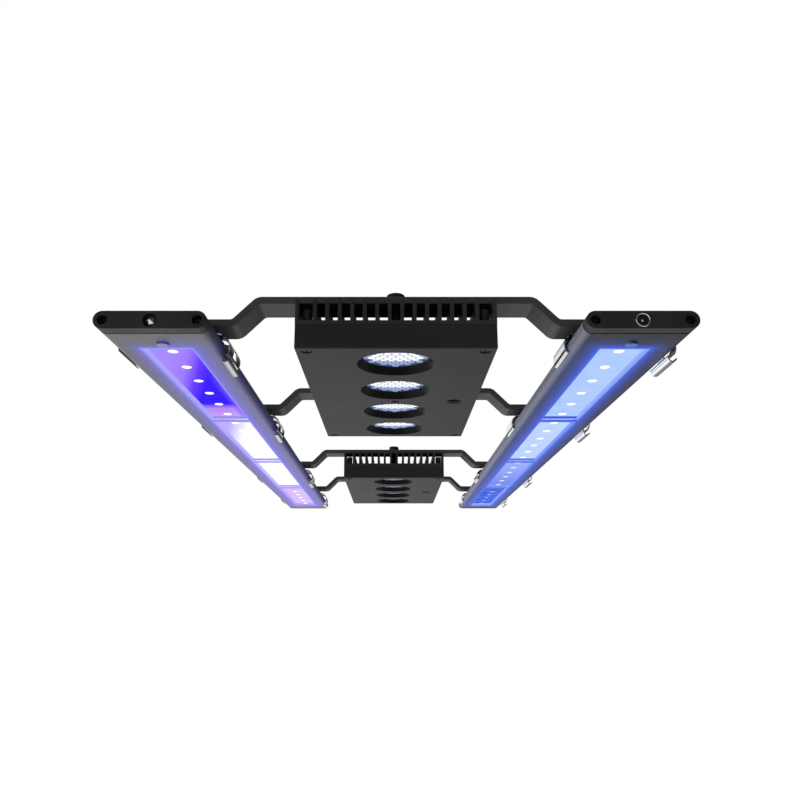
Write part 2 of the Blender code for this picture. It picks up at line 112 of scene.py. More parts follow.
MIDDLE_X = extent("near_housing")[0].x


# Shapes -------------------------------------------------------------------------------------

def loft(outlines, capped=True):
    """Solid through equal-length rings of points, closed with flat ends."""
    body = bmesh.new()
    rings = [[body.verts.new(point) for point in outline] for outline in outlines]
    for ring, following in zip(rings, rings[1:]):
        for index in range(len(ring)):
            after = (index + 1) % len(ring)
            body.faces.new((ring[index], ring[after], following[after], following[index]))
    if capped:
        body.faces.new(rings[0])
        body.faces.new(rings[-1])
    bmesh.ops.recalc_face_normals(body, faces=body.faces)
    return body


def prism(outline, start, end):
    """Solid with an (x, z) outline, running along Y."""
    return loft([[(x, y, z) for x, z in outline] for y in (start, end)])


def block(low, high, rounding=0.0, segments=2):
    """Box between two corners, its edges rounded where a rounding is given."""
    body = bmesh.new()
    bmesh.ops.create_cube(body, size=1.0)
    low, high = Vector(low), Vector(high)
    bmesh.ops.scale(body, vec=high - low, verts=body.verts)
    bmesh.ops.translate(body, vec=(low + high) / 2, verts=body.verts)
    if rounding:
        bmesh.ops.bevel(body, geom=body.edges, offset=rounding, segments=segments,
                        profile=0.5, affect="EDGES")
    return body


def circle(radius, steps, turn=0.0):
    angles = [2 * math.pi * step / steps + turn for step in range(steps)]
    return [(radius * math.cos(a), radius * math.sin(a)) for a in angles]


def turned(rings, centre=(0, 0, 0), steps=64, axis="Z", turn=0.0):
    """Solid of revolution through (radius, height) rings, about Z or Y."""
    outlines = [[(x, y, height) for x, y in circle(radius, steps, turn)] for radius, height in rings]
    body = loft(outlines)
    if axis == "Y":
        bmesh.ops.rotate(body, matrix=Matrix.Rotation(math.radians(-90), 3, "X"), verts=body.verts)
    bmesh.ops.translate(body, vec=centre, verts=body.verts)
    return body


def rod(radius, low, high, centre=(0, 0, 0), steps=64, axis="Z"):
    return turned([(radius, low), (radius, high)], centre, steps, axis)


def arc(centre, radius, start, end, steps):
    """Points on a circle, angles in degrees."""
    points = []
    for step in range(steps + 1):
        angle = math.radians(start + (end - start) * step / steps)
        points.append((centre[0] + radius * math.cos(angle), centre[1] + radius * math.sin(angle)))
    return points


def thicken(path, thickness):
    """Outline of a bent sheet or bar, from its middle line."""
    upper, lower = [], []
    for index, point in enumerate(path):
        before = Vector(path[max(index - 1, 0)])
        after = Vector(path[min(index + 1, len(path) - 1)])
        here = Vector(point)
        first, second = here - before, after - here
        first = first.normalized() if first.length else second.normalized()
        second = second.normalized() if second.length else first
        along = (first + second).normalized()
        side = Vector((-along.y, along.x))
        reach = thickness / 2 / max(along.dot(first), 0.5)
        upper.append(tuple(here + side * reach))
        lower.append(tuple(here - side * reach))
    return upper + lower[::-1]


def join(target, *others):
    """Move the faces of other bmeshes into the first one."""
    for other in others:
        mesh = bpy.data.meshes.new("part")
        other.to_mesh(mesh)
        other.free()
        target.from_mesh(mesh)
        bpy.data.meshes.remove(mesh)
    return target


def paint(body, index):
    """Give every face of a bmesh one material slot number."""
    for face in body.faces:
        face.material_index = index
    return body


def combined(body, tools, operation):
    """A bmesh with others cut from it or united with it, one after another."""
    mesh = bpy.data.meshes.new("work")
    body.to_mesh(mesh)
    body.free()
    item = bpy.data.objects.new("work", mesh)
    bpy.context.scene.collection.objects.link(item)
    for tool_body in tools:
        tool_mesh = bpy.data.meshes.new("tool")
        tool_body.to_mesh(tool_mesh)
        tool_body.free()
        tool = bpy.data.objects.new("tool", tool_mesh)
        bpy.context.scene.collection.objects.link(tool)
        modifier = item.modifiers.new("combine", "BOOLEAN")
        modifier.operation = operation
        modifier.solver = "EXACT"
        modifier.object = tool
        graph = bpy.context.evaluated_depsgraph_get()
        result = bpy.data.meshes.new_from_object(item.evaluated_get(graph))
        item.modifiers.clear()
        item.data = result
        bpy.data.objects.remove(tool, do_unlink=True)
    done = bmesh.new()
    done.from_mesh(item.data)
    bpy.data.objects.remove(item, do_unlink=True)
    return done


def cut(body, tools):
    return combined(body, tools, "DIFFERENCE")


def unite(body, tools):
    return combined(body, tools, "UNION")


# Pieces -------------------------------------------------------------------------------------

def add_piece(name, body, materials, place=(0, 0, 0), softness=0.0):
    """Put a bmesh in the scene, smooth shaded, with its edges softened where asked."""
    mesh = bpy.data.meshes.new(name)
    body.to_mesh(mesh)
    body.free()
    mesh.shade_smooth()
    mesh.set_sharp_from_angle(angle=SHARP_ANGLE)
    for material in materials:
        mesh.materials.append(material)
    item = bpy.data.objects.new(name, mesh)
    bpy.context.scene.collection.objects.link(item)
    item.location = place
    if softness:
        bevel = item.modifiers.new("soft edges", "BEVEL")
        bevel.width = softness
        bevel.segments = 2
        bevel.limit_method = "ANGLE"
        bevel.angle_limit = SHARP_ANGLE
        bevel.miter_outer = "MITER_ARC"
        normals = item.modifiers.new("flat faces", "WEIGHTED_NORMAL")
        normals.keep_sharp = True
    return item


def stand_for(node, body, materials, place=(0, 0, 0), softness=0.0):
    """Fine piece that takes a CAD node's place, on the same body, and hides the node."""
    item = add_piece(f"{node}_fine", body, materials, place, softness)
    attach(item, NODE_BODY[node])
    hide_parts(node)
    return item


def add_detail(name, body, materials, host, place=(0, 0, 0), softness=0.0):
    """Small piece with no CAD node of its own, on the body of the node that holds it."""
    item = add_piece(name, body, materials, place, softness)
    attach(item, NODE_BODY[host])
    return item


# Materials ----------------------------------------------------------------------------------

def colour(code):
    """Linear colour from a six-digit sRGB code."""
    values = []
    for start in (0, 2, 4):
        value = int(code[start:start + 2], 16) / 255
        values.append(value / 12.92 if value <= 0.04045 else ((value + 0.055) / 1.055) ** 2.4)
    return (*values, 1.0)


class Nodes:
    """Adds nodes to one shader tree.  Methods return output sockets to feed to others."""

    def __init__(self, tree):
        self.tree = tree

    def feed(self, socket, value):
        if isinstance(value, bpy.types.NodeSocket):
            self.tree.links.new(value, socket)
        else:
            socket.default_value = value

    def make(self, kind, inputs=None, **settings):
        node = self.tree.nodes.new("ShaderNode" + kind)
        for setting, value in settings.items():
            setattr(node, setting, value)
        for socket, value in (inputs or {}).items():
            self.feed(node.inputs[socket], value)
        return node

    def math(self, operation, first, second=0.0):
        return self.make("Math", {0: first, 1: second}, operation=operation).outputs[0]

    def times(self, first, second):
        return self.math("MULTIPLY", first, second)

    def spread(self, value, low, high, to_low=0.0, to_high=1.0):
        inputs = {"Value": value, "From Min": low, "From Max": high, "To Min": to_low, "To Max": to_high}
        return self.make("MapRange", inputs).outputs[0]


class Recipe(Nodes):
    """Builds one material."""

    def __init__(self, name, **sockets):
        self.material = bpy.data.materials.new(name)
        self.material.use_nodes = True
        super().__init__(self.material.node_tree)
        self.shader = self.tree.nodes["Principled BSDF"]
        for socket, value in sockets.items():
            self.set(socket.title(), value)

    def set(self, socket, value):
        self.feed(self.shader.inputs[socket], value)

    def place(self):
        return self.make("TexCoord").outputs["Object"]

    def axes(self):
        return self.make("SeparateXYZ", {0: self.place()}).outputs

    def noise(self, size, detail=2.0, stretch=(1, 1, 1)):
        scaled = self.make("Mapping", {"Vector": self.place(), "Scale": stretch}).outputs[0]
        return self.make("TexNoise", {"Vector": scaled, "Scale": 1 / size, "Detail": detail}).outputs[0]

    def cells(self, size, stretch=(1, 1, 1)):
        scaled = self.make("Mapping", {"Vector": self.place(), "Scale": stretch}).outputs[0]
        return self.make("TexVoronoi", {"Vector": scaled, "Scale": 1 / size}).outputs["Distance"]

    def mix(self, factor, first, second):
        return self.make("Mix", {0: factor, 6: first, 7: second}, data_type="RGBA").outputs[2]

    def ramp(self, factor, stops):
        node = self.make("ValToRGB", {0: factor})
        elements = node.color_ramp.elements
        elements[0].position, elements[0].color = stops[0]
        elements[1].position, elements[1].color = stops[-1]
        for position, value in stops[1:-1]:
            elements.new(position).color = value
        return node.outputs[0]

    def bump(self, height, distance, strength=1.0):
        inputs = {"Height": height, "Distance": distance, "Strength": strength}
        self.set("Normal", self.make("Bump", inputs).outputs[0])

    def edge(self, radius):
        """1 on a sharp edge, 0 on the flat."""
        rounded = self.make("Bevel", {"Radius": radius}, samples=4).outputs[0]
        flat = self.make("NewGeometry").outputs["Normal"]
        match = self.make("VectorMath", {0: rounded, 1: flat}, operation="DOT_PRODUCT").outputs["Value"]
        return self.spread(match, 0.995, 0.8)


def powder_coat(name, code, worn_code, roughness=0.5, shine=0.15):
    """Matt black powder coat: a fine pebbled skin that is a little rubbed along the edges."""
    recipe = Recipe(name, metallic=0.0)
    broad = recipe.noise(60 * MM, 3)
    fine = recipe.noise(0.9 * MM, 2)
    base = recipe.mix(recipe.spread(broad, 0.3, 0.7, 0.0, 0.35), colour(code), colour(worn_code))
    worn = recipe.times(recipe.edge(0.5 * MM), recipe.spread(recipe.noise(6 * MM, 4), 0.4, 0.7))
    recipe.set("Base Color", recipe.mix(recipe.times(worn, 0.5), base, colour(worn_code)))
    recipe.set("Roughness", recipe.spread(fine, 0.3, 0.7, roughness - 0.05, roughness + 0.08))
    recipe.set("Specular IOR Level", shine)
    recipe.bump(fine, 0.06 * MM, 0.5)
    return recipe.material


def moulded_plastic(name, code, roughness=0.45, grain=0.5 * MM, metallic=0.0):
    """Moulded plastic or rubber: an even colour with a fine spark-eroded grain."""
    recipe = Recipe(name, metallic=metallic)
    light = recipe.mix(0.25, colour(code), colour("808080"))
    recipe.set("Base Color", recipe.mix(recipe.spread(recipe.noise(25 * MM, 3), 0.35, 0.75, 0.0, 0.18),
                                        colour(code), light))
    patches = recipe.noise(8 * MM, 3)
    recipe.set("Roughness", recipe.spread(patches, 0.3, 0.7, roughness - 0.06, roughness + 0.06))
    recipe.set("Specular IOR Level", 0.15)
    recipe.bump(recipe.cells(grain), 0.04 * MM, 0.5)
    return recipe.material


def chrome(name, code="d8dade", roughness=0.07, side=None):
    """Polished metal with hairline scratches and faint smudges; on a side's clips, painted reflections:
    bright and dark bands on the pull tab, and darkened hooks with a few light patches.
    """
    recipe = Recipe(name, metallic=1.0)
    scratches = recipe.noise(0.25 * MM, 2, (1, 0.03, 1))
    smudges = recipe.noise(9 * MM, 3)
    base = recipe.mix(recipe.spread(smudges, 0.35, 0.8, 0.0, 0.3), colour(code), colour("a8acb4"))
    if side:
        x, _, z = recipe.axes()
        # Painted reflections: bands of bright and dark across the pull tab at the clip's foot, in place of
        # the surroundings mirrored in it.
        painted_reflection_bands = recipe.ramp(recipe.spread(x, 33.2 * MM, 40.4 * MM),
                              [(0.0, colour("e8e8ec")), (0.2, colour("ffffff")), (0.34, colour("5c5a62")),
                               (0.5, colour("a09ea6")), (0.72, colour("dcdce0")), (1.0, colour("4c4a50"))])
        base = recipe.mix(recipe.spread(z, 0.5 * MM, 0.0), base, painted_reflection_bands)
        # Painted shade and painted reflection: higher up the clip the chrome is darkened, with a few light
        # patches as painted glints.
        patches = recipe.noise(2.2 * MM, 1, (1, 0.25, 1))
        if side == "left":
            painted_dark_reflection = recipe.mix(recipe.spread(patches, 0.52, 0.6), colour("222226"), colour("b4b4ba"))
            base = recipe.mix(recipe.spread(z, 1 * MM, 4 * MM), base, painted_dark_reflection)
            # Painted dark reflection over the outermost part of the left clips' hook.
            base = recipe.mix(recipe.spread(x, -33 * MM, -34 * MM), base, colour("3c3c40"))
        else:
            painted_dark_reflection = recipe.mix(recipe.spread(patches, 0.45, 0.6), colour("343438"), colour("c0bec4"))
            base = recipe.mix(recipe.spread(z, 7 * MM, 12 * MM), base, painted_dark_reflection)
    recipe.set("Base Color", base)
    recipe.set("Roughness", recipe.spread(smudges, 0.3, 0.8, roughness, roughness + 0.1))
    recipe.bump(scratches, 0.01 * MM, 0.35)
    return recipe.material


def dark_metal(name, code, roughness=0.35):
    """Black-oxide steel of screws and thumb screws."""
    recipe = Recipe(name, metallic=0.6)
    worn = recipe.edge(0.25 * MM)
    stains = recipe.spread(recipe.noise(3 * MM, 4), 0.3, 0.8, 0.0, 0.4)
    base = recipe.mix(stains, colour(code), colour("3a3a3c"))
    recipe.set("Base Color", recipe.mix(recipe.times(worn, 0.5), base, colour("6a6a6c")))
    grain = recipe.noise(0.6 * MM, 2)
    recipe.set("Roughness", recipe.spread(grain, 0.3, 0.7, roughness - 0.08, roughness + 0.08))
    recipe.bump(recipe.noise(0.5 * MM, 3), 0.02 * MM, 0.5)
    return recipe.material


# Colours of the light in each window, from the near end to the far end. The boards and LEDs are the lamps;
# walls, ends, spill, rim and stud are colours of light painted on the strip's metal, and dark is the painted
# shade of its base colour beside the windows
GLOW = {
    "left": {"boards": ("3000ff", "ffffff", "ffffff", "dcbcff"),
             "leds": ("ffffff", "ffffff", "ffffff", "fff4ff"),
             "walls": ("a8a8f5", "b4a8ff", "c0b4ff", "b8a0ff"),
             "ends": ("9088ea", "a8a0ec", "b0a0f0", "b8a4f4"),
             "spill": "6a66ee", "rim": "9a98ff", "stud": "7472cc", "dark": "141238"},
    "right": {"boards": ("a8c8ff", "b8d2ff", "8a98ff", "1a54e0"),
              "leds": ("ffffff", "f4f8ff", "e0e8ff", "5c88ee"),
              "walls": ("8ca6f6", "7090ff", "7890ff", "88a0ff"),
              "ends": ("3052dc", "3858e0", "8c9cf8", "a8b4ff"),
              "spill": "2c5cf0", "rim": "3c68f2", "stud": "5c7cc4", "dark": "08142c"},
}


def quarters(codes):
    """Ramp stops for four colours in equal steps."""
    stops = []
    for index, code in enumerate(codes):
        stops += [(index / 4 + 0.005, colour(code)), ((index + 1) / 4 - 0.005, colour(code))]
    return stops


def strip_metal(strip):
    """Anodised strip extrusion with its windows' light painted on as emission: a painted glow on the walls
    inside, and outside a soft painted glow over a darker base colour, a painted highlight line along each
    window's rim and a painted glow on the stud's face.
    """
    glow = GLOW[strip.side]
    half_windows, half_width = strip.half_windows, strip.window_half_width
    recipe = Recipe(f"{strip.side}_strip_anodised_painted_light", metallic=0.2)
    grain = recipe.noise(0.5 * MM, 3, (1, 0.02, 1))
    cloud = recipe.noise(40 * MM, 3)
    # The two strips share one anodised finish: the left one's lighter base colour is painted light, the right
    # one's darker base colour is painted shade.
    code, worn_code = ("585655", "4e4e50") if strip.side == "left" else ("1b1d21", "202226")
    metal = recipe.mix(recipe.spread(cloud, 0.3, 0.7, 0.0, 0.3), colour(code), colour(worn_code))
    recipe.set("Roughness", recipe.spread(grain, 0.3, 0.7, 0.38, 0.52))
    recipe.set("Specular IOR Level", 0.2)
    recipe.bump(grain, 0.02 * MM, 0.4)
    x, y, z = recipe.axes()
    # Painted light: the windows' walls and ends glow in the window colours, in place of the LEDs' light
    # falling on them.
    share = recipe.spread(y, -half_windows - 2.5 * MM, half_windows + 2.5 * MM)
    sides = recipe.ramp(share, quarters(glow["walls"]))
    ends = recipe.ramp(share, quarters(glow["ends"]))
    normal = recipe.make("SeparateXYZ", {0: recipe.make("NewGeometry").outputs["Normal"]}).outputs
    walls = recipe.mix(recipe.math("LESS_THAN", normal[1], -0.5), sides, ends)
    # Painted glow: emission on the underside that fades with distance from the windows, in place of their
    # light spilling onto the metal.
    across = recipe.math("ABSOLUTE", x)
    along = recipe.math("ABSOLUTE", y)
    beside = recipe.math("MAXIMUM", recipe.math("SUBTRACT", across, half_width), 0.0)
    beyond = recipe.math("MAXIMUM", recipe.math("SUBTRACT", along, half_windows), 0.0)
    outer = recipe.math("GREATER_THAN", recipe.times(x, strip.sign), 0.0)
    squares = recipe.math("ADD", recipe.times(beside, beside), recipe.times(beyond, beyond))
    away = recipe.math("SQRT", squares)
    near_reach, far_reach = (8 * MM, 13 * MM) if strip.side == "left" else (6.5 * MM, 10 * MM)
    inner_reach = recipe.spread(y, -half_windows, half_windows, near_reach, far_reach)
    outer_reach = recipe.spread(y, -half_windows, half_windows, 4.5 * MM, far_reach)
    inner = recipe.math("SUBTRACT", 1.0, outer)
    reach = recipe.math("ADD", recipe.times(outer, outer_reach), recipe.times(inner, inner_reach))
    falloff = recipe.math("POWER", math.e, recipe.math("DIVIDE", recipe.times(away, -1.0), reach))
    spill = recipe.times(falloff, recipe.spread(z, 9 * MM, 1 * MM))
    # Painted light inside the channel near the windows: its cavity faces glow in the wall colours.
    inside = recipe.math("GREATER_THAN", z, 0.3 * MM)
    for value, limit in ((z, strip.height - 0.4 * MM), (across, 23 * MM), (along, half_windows + 12 * MM)):
        inside = recipe.times(inside, recipe.math("LESS_THAN", value, limit))
    # Painted shade: the base colour darkens as the sides curve up from the underside, away from the light
    # below.
    metal = recipe.mix(recipe.spread(z, 1 * MM, 6 * MM, 0.0, 0.75), metal, colour("2a2a2e"))
    # Painted shade on the left strip's inner side and painted light on the right strip's inner side, set by
    # the way the surface faces across.
    turned_in, painted_side_tone = (1, "26262a") if strip.side == "left" else (-1, "7a7c84")
    sideways = recipe.spread(recipe.times(normal[0], turned_in), 0.12, 0.7, 0.0, 0.7)
    metal = recipe.mix(sideways, metal, colour(painted_side_tone))
    # Painted shade: next to the windows the base colour darkens towards the glow's dark colour, under the
    # painted glow.
    recipe.set("Base Color", recipe.mix(spill, metal, colour(glow["dark"])))
    # Painted highlight: a thin brighter line along each window's rim.
    rim = recipe.spread(away, 0.5 * MM, 2.2 * MM, 0.8, 0.0)
    outside = recipe.mix(rim, colour(glow["spill"]), colour(glow["rim"]))
    # Painted glow on the round stud's lower face.
    stud_face = recipe.math("LESS_THAN", z, -1.35 * MM)
    outside = recipe.mix(stud_face, outside, colour(glow["stud"]))
    recipe.set("Emission Color", recipe.mix(inside, outside, walls))
    spill = recipe.math("MAXIMUM", spill, recipe.times(stud_face, 0.75))
    strength = recipe.math("MAXIMUM", recipe.times(inside, 0.9), recipe.times(spill, 0.85))
    recipe.set("Emission Strength", strength)
    recipe.material.cycles.emission_sampling = "NONE"
    return recipe.material


def board_face(side, number, half_length):
    """LED board flooded with its own light; the first one on the left shades from lilac to deep blue."""
    recipe = Recipe(f"{side}_board_{number}_face", roughness=0.5)
    mask = recipe.noise(12 * MM, 3)
    recipe.set("Base Color", recipe.mix(mask, colour("060608"), colour("0c0c10")))
    recipe.set("Specular IOR Level", 0.0)
    x, y, _ = recipe.axes()
    along = recipe.spread(y, -half_length, half_length)
    code = GLOW[side]["boards"][number - 1]
    tone = recipe.mix(recipe.spread(mask, 0.3, 0.7, 0.0, 0.12), colour(code), colour("ffffff"))
    if (side, number) == ("left", 1):
        slant = recipe.math("ADD", along, recipe.math("DIVIDE", x, 70 * MM))
        tone = recipe.ramp(slant, [(0.0, colour("a98aff")), (0.22, colour("a07cff")),
                                   (0.38, colour("6434ff")), (0.52, colour("3408ff")),
                                   (1.0, colour("3000ff"))])
        tone = recipe.mix(recipe.spread(along, 0.78, 0.86), tone, colour("b98cff"))
        tone = recipe.mix(recipe.spread(along, 0.9, 1.0), tone, colour("d0a4f4"))
        edge = recipe.times(recipe.spread(x, 8 * MM, 15 * MM, 0.0, 0.9), recipe.spread(along, 0.3, 0.55))
        tone = recipe.mix(edge, tone, colour("7c54fa"))
    elif (side, number) == ("left", 2):
        slant = recipe.math("ADD", along, recipe.math("DIVIDE", x, 60 * MM))
        tone = recipe.ramp(slant, [(0.0, colour("c4b0ff")), (0.3, colour("ffffff")), (1.0, colour("ffffff"))])
    elif (side, number) == ("right", 3):
        tone = recipe.ramp(along, [(0.0, colour("a4b8fc")), (1.0, colour("7488f0"))])
    recipe.set("Emission Color", tone)
    recipe.set("Emission Strength", 1.0)
    return recipe.material


def led_dome(side, number):
    """Clear-domed LED, white hot in the middle."""
    recipe = Recipe(f"{side}_led_{number}_dome", roughness=0.1)
    code = GLOW[side]["leds"][number - 1]
    glass = recipe.noise(2 * MM)
    recipe.set("Base Color", recipe.mix(glass, colour("303030"), colour("404040")))
    bloom = recipe.spread(glass, 0.2, 0.8, 0.0, 0.2)
    recipe.set("Emission Color", recipe.mix(bloom, colour(code), colour("ffffff")))
    recipe.set("Emission Strength", 1.3 if side == "left" or number < 3 else 1.0)
    return recipe.material


def clear_cover():
    """Thin clear cover strip: mostly see-through, with a faint dust bloom."""
    recipe = Recipe("clear_cover_strip", roughness=0.06, metallic=0.0)
    dust = recipe.noise(3 * MM, 4)
    recipe.set("Base Color", recipe.mix(dust, colour("e8ecff"), colour("ffffff")))
    recipe.set("Specular IOR Level", 0.0)
    recipe.set("Alpha", recipe.spread(dust, 0.3, 0.8, 0.002, 0.008))
    return recipe.material


def lens_crown(name, code, edge_code, strength):
    """Moulded optics lit from behind, whitest on the near side and bluer towards the far side."""
    recipe = Recipe(name, roughness=0.12)
    y = recipe.axes()[1]
    rim = recipe.spread(y, 2.5 * MM, 7.5 * MM)
    patch = recipe.noise(4 * MM)
    recipe.set("Base Color", recipe.mix(patch, colour("30343c"), colour("3c424c")))
    recipe.set("Emission Color", recipe.mix(rim, colour(code), colour(edge_code)))
    recipe.set("Emission Strength", recipe.spread(patch, 0.3, 0.7, strength * 0.92, strength))
    return recipe.material


def circuit_board(name, code, track_code):
    """Solder-masked board with a network of tracks."""
    recipe = Recipe(name, roughness=0.4)
    tracks = recipe.spread(recipe.cells(5 * MM), 0.12, 0.2)
    recipe.set("Base Color", recipe.mix(tracks, colour(track_code), colour(code)))
    recipe.set("Roughness", recipe.spread(recipe.noise(3 * MM), 0.3, 0.7, 0.3, 0.45))
    recipe.bump(tracks, 0.03 * MM, 0.5)
    return recipe.material


# Strip lights -------------------------------------------------------------------------------

def strip_outline(width, height, inset=0.0, steps=18):
    radius = height / 2
    reach = width / 2 - radius
    right = arc((reach, radius), radius - inset, -90, 90, steps)
    left = arc((-reach, radius), radius - inset, 90, 270, steps)
    return right + left


class Strip:
    """One strip light's box, in its own frame: x across, y along, z up from the underside."""

    def __init__(self, side, sign):
        self.side, self.sign = side, sign
        low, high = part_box(f"{side}_near_end_cap")
        self.place = ((low.x + high.x) / 2, 0, low.z)
        self.width, self.height = high.x - low.x, high.z - low.z
        self.channel_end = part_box(f"{side}_strip_channel")[1].y
        self.end = -low.y
        self.windows = []
        for number in BAR_NUMBERS:
            board_low, board_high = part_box(f"{side}_led_board_{number}")
            margin = FRONT_MARGIN if number == 1 else 0
            self.windows.append((board_low.y - BOARD_END_GAP + margin, board_high.y + BOARD_END_GAP))
        self.window_half_width = (board_high.x - board_low.x) / 2 + BOARD_SIDE_GAP
        self.half_windows = self.windows[-1][1]

    def ring(self, y, inset=0.0):
        return [(x, y, z) for x, z in strip_outline(self.width, self.height, inset)]


def make_channel(strip):
    """Extruded body with four windows in its underside and one round stud near the front."""
    end = strip.channel_end
    body = prism(strip_outline(strip.width, strip.height), -end, end)
    _, board_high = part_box(f"{strip.side}_led_board_1")
    cover_low, cover_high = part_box(f"{strip.side}_window_cover")
    roof = board_high.z - strip.place[2] + 0.3 * MM
    slot_half = (cover_high.x - cover_low.x) / 2 + 0.3 * MM
    slot_top = cover_high.z - strip.place[2] + 0.3 * MM
    tools = [block((-slot_half, -end - MM, STRIP_WALL), (slot_half, end + MM, slot_top))]
    for start, stop in strip.windows:
        half = strip.window_half_width
        tools.append(block((-half, start, -MM), (half, stop, roof)))
    stud = turned([(3.9 * MM, -1.6 * MM), (4.2 * MM, -1.3 * MM), (4.2 * MM, STRIP_WALL / 2)],
                  (STUD_SHIFT, STUD_INSET - strip.end, 0), 48)
    body = cut(unite(body, [stud]), tools)
    metal = strip_metal(strip)
    stand_for(f"{strip.side}_strip_channel", body, [metal], strip.place, 0.2 * MM)


def make_cap(strip, end_name, direction, materials):
    """Moulded end cap with a rounded rim, deep screw pockets and, at the near end, the connector's."""
    node = f"{strip.side}_{end_name}_end_cap"
    low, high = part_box(node)
    face = low.y if direction < 0 else high.y
    back = high.y if direction < 0 else low.y
    rounding = 0.4 * MM
    outlines = [strip.ring(back)]
    for step in range(5):
        angle = math.radians(90 * step / 4)
        outlines.append(strip.ring(face - direction * rounding * (1 - math.sin(angle)),
                                   rounding * (1 - math.cos(angle))))
    pocket_x = strip.width / 2 - strip.height / 2
    pockets = [(pocket_x, 3.3 * MM), (-pocket_x, 3.3 * MM)]
    if end_name == "near":
        pockets.append((0, 5.3 * MM if strip.side == "right" else 4.6 * MM))
    tools = []
    depth = 8 * MM
    for x, radius in pockets:
        reach = sorted((face - direction * depth, face + direction * MM))
        tools.append(rod(radius, reach[0], reach[1], (x, 0, strip.height / 2), 48, "Y"))
    stand_for(node, cut(loft(outlines), tools), [materials["cap"]], strip.place, 0.15 * MM)
    for index, x in enumerate((-pocket_x, pocket_x), start=1):
        floor = face - direction * (depth - 0.2 * MM)
        screw = socket_screw(2.7 * MM, 2.6 * MM)
        turn = Matrix.Rotation(math.radians(90 * direction), 3, "X").transposed()
        bmesh.ops.rotate(screw, matrix=turn, verts=screw.verts)
        place = (strip.place[0] + x, floor, strip.place[2] + strip.height / 2)
        add_detail(f"{node}_screw_{index}", screw, [materials["screw"]], node, place)


def socket_screw(radius, height):
    """Round screw head standing on z 0, with a hexagon socket in its top."""
    head = turned([(radius, 0), (radius, height * 0.7), (radius * 0.86, height)], steps=32)
    socket = turned([(radius * 0.5, height * 0.4), (radius * 0.5, height + MM)], steps=6)
    return cut(head, [socket])


def make_gasket(strip, end_name, materials):
    """Rubber gasket between the extrusion and its cap, with a bulging rim."""
    node = f"{strip.side}_{end_name}_cap_gasket"
    low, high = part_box(node)
    rings = []
    for share, inset in ((0.0, 0.7), (0.25, 0.45), (0.5, 0.4), (0.75, 0.45), (1.0, 0.7)):
        rings.append(strip.ring(low.y + (high.y - low.y) * share, inset * MM))
    stand_for(node, loft(rings), [materials["rubber"]], strip.place)


def make_connector(strip, materials):
    """Low-voltage connector in the near cap: a pointed faceted plug, or a ring with a pin."""
    node = f"{strip.side}_strip_connector"
    low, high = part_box(node)
    front, back = low.y, high.y
    middle = (0, 0, strip.height / 2)
    if strip.side == "left":
        rings = [(0.4 * MM, front), (4.4 * MM, front + 2.5 * MM), (4.4 * MM, back)]
        body = turned(rings, middle, 5, "Y", math.radians(35))
        stand_for(node, body, [materials["plug"]], strip.place, 0.12 * MM)
        return
    tube = rod(4.9 * MM, front, back, middle, 64, "Y")
    bore = rod(3.8 * MM, front - MM, back - 1.5 * MM, middle, 64, "Y")
    stand_for(node, cut(tube, [bore]), [materials["chrome"]], strip.place, 0.3 * MM)
    insert = rod(3.7 * MM, back - 3.2 * MM, back - 1.6 * MM, middle, 48, "Y")
    pin = turned([(0.5 * MM, front + 1.2 * MM), (1.0 * MM, front + 1.7 * MM), (1.0 * MM, back - 2.4 * MM)],
                 middle, 24, "Y")
    add_detail("right_connector_insert", insert, [materials["cap"]], node, strip.place,
               0.15 * MM)
    add_detail("right_connector_pin", pin, [materials["chrome"]], node, strip.place)


def make_boards(strip):
    """LED boards, each with one row of low domed LEDs."""
    for number in BAR_NUMBERS:
        middle, half = extent(f"{strip.side}_led_board_{number}")
        top = middle.z + half.z - strip.place[2]
        face = top - 1.6 * MM
        start = FRONT_MARGIN - half.y if number == 1 else -half.y
        body = block((-half.x, start, face), (half.x, half.y, top), 0.15 * MM, 1)
        for led in range(LEDS_PER_BOARD):
            y = (led - (LEDS_PER_BOARD - 1) / 2) * LED_PITCH
            join(body, rod(1.9 * MM, face + 0.2 * MM, face - LED_SEAT + 0.1 * MM, (0, y, 0), 24))
            profile = [(1.5 * MM, face - LED_SEAT), (LED_RADIUS, face - LED_SEAT)]
            for angle in (25, 50, 75):
                lean = math.radians(angle)
                profile.append((LED_RADIUS * math.cos(lean), face - LED_SEAT - LED_RISE * math.sin(lean)))
            join(body, paint(turned(profile, (0, y, 0), 32), 1))
        stand_for(f"{strip.side}_led_board_{number}", body,
                  [board_face(strip.side, number, half.y), led_dome(strip.side, number)],
                  (strip.place[0], middle.y, strip.place[2]))


def make_strip(side, sign, materials):
    strip = Strip(side, sign)
    make_channel(strip)
    for end_name, direction in (("near", -1), ("far", 1)):
        make_cap(strip, end_name, direction, materials)
        make_gasket(strip, end_name, materials)
    make_connector(strip, materials)
    make_boards(strip)
    finish_node(f"{side}_window_cover", materials["cover"])


def finish_node(node, material):
    """Give a CAD node that stays in view its own finished material."""
    for slot in frame["nodes"][node].material_slots:
        slot.material = material


# Light heads --------------------------------------------------------------------------------

def lens_middles(head):
    boxes = [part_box(f"{head}_lens_{number}") for number in BAR_NUMBERS]
    return [(low.y + high.y) / 2 for low, high in boxes]


